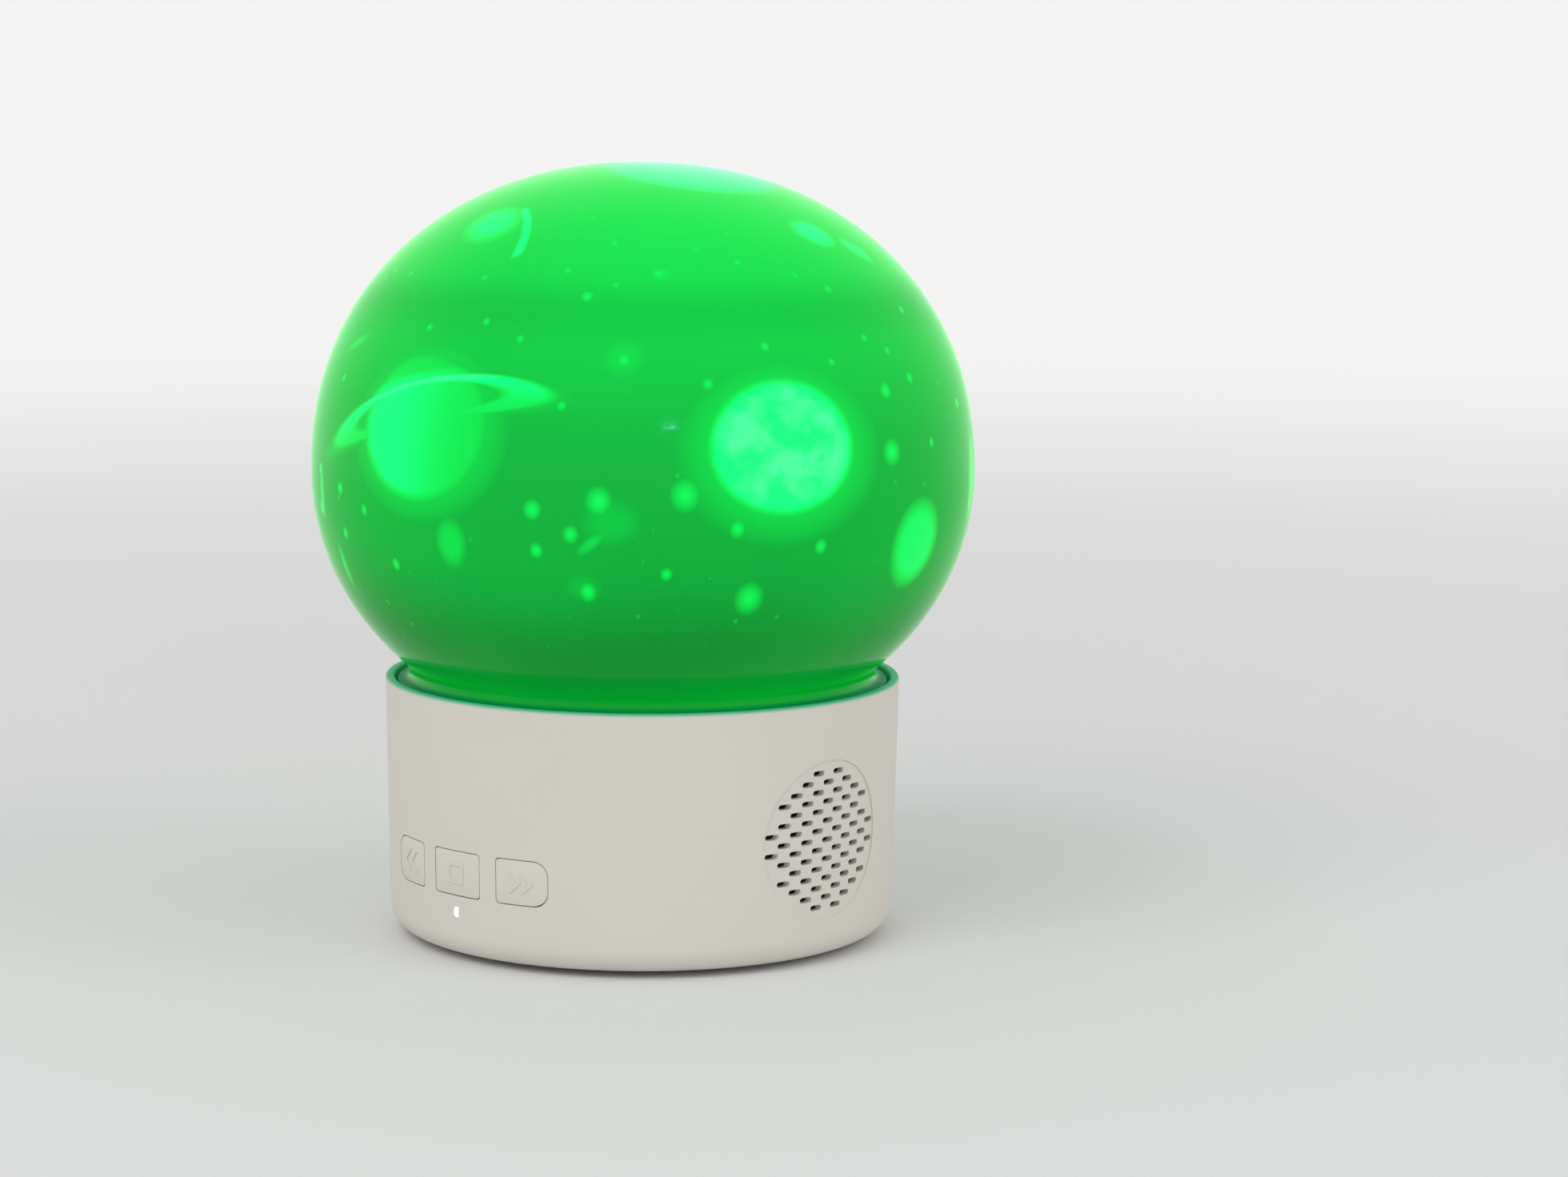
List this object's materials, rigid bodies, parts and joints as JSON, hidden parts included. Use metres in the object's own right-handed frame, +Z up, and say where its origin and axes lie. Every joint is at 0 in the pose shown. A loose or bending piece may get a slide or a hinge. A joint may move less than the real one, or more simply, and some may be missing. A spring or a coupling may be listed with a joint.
{
  "type": "star projector night light",
  "caption": "Star projector night light: milky oblate dome with planets and stars over a round off-white base with flush buttons and a speaker grille.",
  "frame": {"origin": "centre of the circle of rubber feet, on the surface that the base rests on", "axes": "+Z up through the dome; the buttons face -Y, the loudspeaker +X, the charging inlet +Y"},
  "size_m": [0.135, 0.135, 0.1574],
  "materials": {
    "shell": "fine-grained warm off-white moulded plastic",
    "dome": "milky translucent glossy plastic, lit from inside",
    "deck": "satin off-white moulded plastic",
    "film": "thin printed film",
    "rubber": "dark rubber",
    "foam": "black foam",
    "screw_steel": "zinc-plated steel",
    "spring_steel": "spring steel",
    "heat_sink": "bare machined aluminium",
    "circuit_green": "green solder mask",
    "lamp_board": "white solder mask on aluminium",
    "emitter": "emissive lamp package under a clear lens",
    "indicator": "emissive white indicator and its clear pipe",
    "slippery": "white slip plastic",
    "black_plastic": "black moulded plastic",
    "socket_white": "ivory nylon",
    "can_steel": "bright steel can",
    "capacitor": "dark sleeve",
    "cell": "foil pouch",
    "basket": "black pressed steel",
    "magnet": "dark sintered ferrite",
    "paper": "black pressed paper",
    "copper": "copper winding",
    "wire": "thin insulated wire"
  },
  "bodies": {
    "base": {"battery_cell": "cell", "battery_leads": "wire", "battery_tape": "foam", "bearing_washer": "slippery", "board_capacitors": "capacitor", "board_chips": "black_plastic", "board_screws": "screw_steel", "board_sockets": "socket_white", "bottom_cover": "shell", "cover_screws": "screw_steel", "deck": "deck", "deck_screws": "screw_steel", "gear_motor": "can_steel", "header_block": "black_plastic", "heat_sink": "heat_sink", "housing": "shell", "indicator_lamp": "indicator", "lamp_board": "lamp_board", "lamp_emitter": "emitter", "lamp_leads": "wire", "lamp_screws": "screw_steel", "light_pipe": "indicator", "main_board": "circuit_green", "motor_leads": "wire", "motor_screws": "screw_steel", "retaining_clip": "spring_steel", "rubber_feet": "rubber", "speaker_basket": "basket", "speaker_gasket": "foam", "speaker_leads": "wire", "speaker_magnet": "magnet", "speaker_screws": "screw_steel", "speaker_surround": "rubber", "speaker_yoke": "can_steel", "switch_board": "circuit_green", "tact_switches": "black_plastic", "usb_shell": "can_steel", "usb_tongue": "black_plastic"},
    "shade": {"shade": "dome"},
    "turntable": {"turntable": "deck"},
    "film_roll": {"film_side": "film", "film_cap": "deck", "film_top": "film"},
    "pinion": {"pinion": "slippery", "motor_shaft": "spring_steel"},
    "button_previous": {"button_previous": "shell", "switch_plunger_previous": "black_plastic"},
    "button_play": {"button_play": "shell", "switch_plunger_play": "black_plastic"},
    "button_next": {"button_next": "shell", "switch_plunger_next": "black_plastic"},
    "speaker_cone": {"speaker_cone": "paper", "voice_coil": "copper", "dust_cap": "paper"}
  },
  "joints": [
    {"name": "shade_lift", "type": "slide", "parent": "base", "child": "shade", "axis": [0, 0, 1], "range_m": [0, 0.08]},
    {"name": "turntable_spin", "type": "hinge", "parent": "base", "child": "turntable", "pos_m": [0, 0, 0.0478], "axis": [0, 0, 1], "continuous": true},
    {"name": "film_lift", "type": "slide", "parent": "turntable", "child": "film_roll", "axis": [0, 0, 1], "range_m": [0, 0.02]},
    {"name": "pinion_spin", "type": "hinge", "parent": "base", "child": "pinion", "pos_m": [-0.0248, 0, 0.0451], "axis": [0, 0, 1], "continuous": true},
    {"name": "button_previous_press", "type": "slide", "parent": "base", "child": "button_previous", "axis": [0, 1, 0], "range_m": [0, 0.0005], "stiffness_N_per_m": 400},
    {"name": "button_play_press", "type": "slide", "parent": "base", "child": "button_play", "axis": [0, 1, 0], "range_m": [0, 0.0005], "stiffness_N_per_m": 400},
    {"name": "button_next_press", "type": "slide", "parent": "base", "child": "button_next", "axis": [0, 1, 0], "range_m": [0, 0.0005], "stiffness_N_per_m": 400},
    {"name": "speaker_cone_stroke", "type": "slide", "parent": "base", "child": "speaker_cone", "axis": [1, 0, 0], "range_m": [-0.0005, 0.0005], "stiffness_N_per_m": 900}
  ],
  "couplings": [
    {"joint": "pinion_spin", "follows": "turntable_spin", "ratio": -4.1667}
  ]
}
